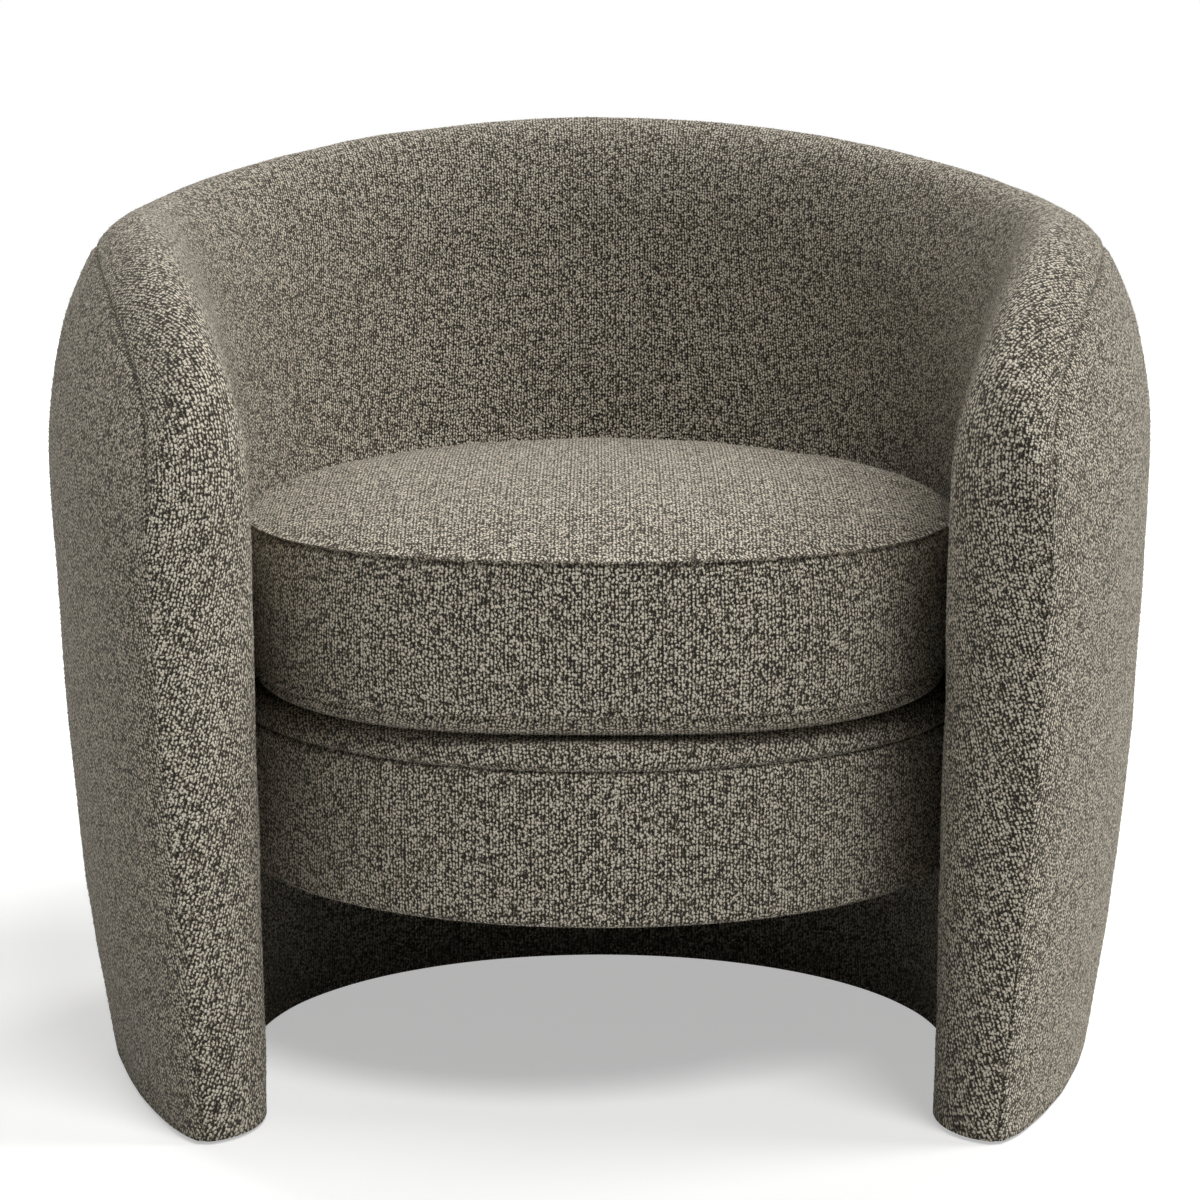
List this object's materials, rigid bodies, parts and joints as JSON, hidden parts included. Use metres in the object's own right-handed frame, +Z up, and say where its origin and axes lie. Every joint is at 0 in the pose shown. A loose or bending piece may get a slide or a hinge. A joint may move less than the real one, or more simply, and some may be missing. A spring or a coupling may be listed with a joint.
{
  "type": "tub chair",
  "caption": "Round tub armchair in looped boucle: a leaning horseshoe shell down to the floor, a drum seat hung between its walls and a loose round box cushion.",
  "frame": {"origin": "centre of the chair's footprint box at the floor, under the middle of its width and depth", "axes": "+Z up, the open front faces -Y, +X to the sitter's left as seen from the front"},
  "size_m": [0.864, 0.7705, 0.7031],
  "materials": {
    "boucle": "looped wool-like pile, matt, taupe brown with lighter loops",
    "lining_cloth": "thin black non-woven lining, matt",
    "foam": "pale yellow upholstery foam, matt",
    "wadding": "white fibre wadding, matt",
    "plywood": "sanded birch plywood, raw",
    "timber": "planed softwood, raw",
    "fibreboard": "bendable fibreboard, raw",
    "spring_steel": "dark drawn spring wire",
    "plated_steel": "zinc plated",
    "glide_plastic": "black moulded, matt",
    "zip_cloth": "dark woven zip tape",
    "zip_coil": "dark moulded coil",
    "zip_metal": "dark bronze coated"
  },
  "bodies": {
    "chair": {"base_lining": "lining_cloth", "base_plate": "plywood", "border_cover": "boucle", "border_foam": "foam", "deck_cover": "boucle", "deck_pad": "foam", "dust_cover": "lining_cloth", "front_board": "fibreboard", "glide_back": "glide_plastic", "glide_back_left": "glide_plastic", "glide_back_right": "glide_plastic", "glide_front_left": "glide_plastic", "glide_front_right": "glide_plastic", "glide_side_left": "glide_plastic", "glide_side_right": "glide_plastic", "inside_board": "fibreboard", "inside_cover": "boucle", "inside_foam_left": "foam", "inside_foam_right": "foam", "middle_plate": "plywood", "outside_board": "fibreboard", "outside_cover": "boucle", "outside_wadding": "wadding", "rib_back": "timber", "rib_back_left": "timber", "rib_back_right": "timber", "rib_front_left": "timber", "rib_front_right": "timber", "rib_side_left": "timber", "rib_side_right": "timber", "seat_bolt_back": "plated_steel", "seat_bolt_left": "plated_steel", "seat_bolt_right": "plated_steel", "seat_post_back": "timber", "seat_post_front_left": "timber", "seat_post_front_right": "timber", "seat_post_side_left": "timber", "seat_post_side_right": "timber", "seat_ring_lower": "plywood", "seat_ring_upper": "plywood", "spring_1": "spring_steel", "spring_2": "spring_steel", "spring_3": "spring_steel", "spring_4": "spring_steel", "spring_clip_back_1": "plated_steel", "spring_clip_back_2": "plated_steel", "spring_clip_back_3": "plated_steel", "spring_clip_back_4": "plated_steel", "spring_clip_front_1": "plated_steel", "spring_clip_front_2": "plated_steel", "spring_clip_front_3": "plated_steel", "spring_clip_front_4": "plated_steel", "top_plate": "plywood"},
    "cushion": {"cushion_core": "foam", "cushion_top_panel": "boucle", "cushion_bottom_panel": "boucle", "cushion_boxing": "boucle", "zip_tape": "zip_cloth", "zip_chain": "zip_coil"},
    "zip_slider": {"zip_slider": "zip_metal"}
  },
  "joints": [
    {"name": "cushion_lift", "type": "slide", "parent": "chair", "child": "cushion", "axis": [0, 0, 1], "range_m": [0, 0.45]},
    {"name": "zip_pull", "type": "hinge", "parent": "cushion", "child": "zip_slider", "pos_m": [0, -0.06789, 0.357], "axis": [0, 0, 1], "range_deg": [-68, 0]}
  ]
}
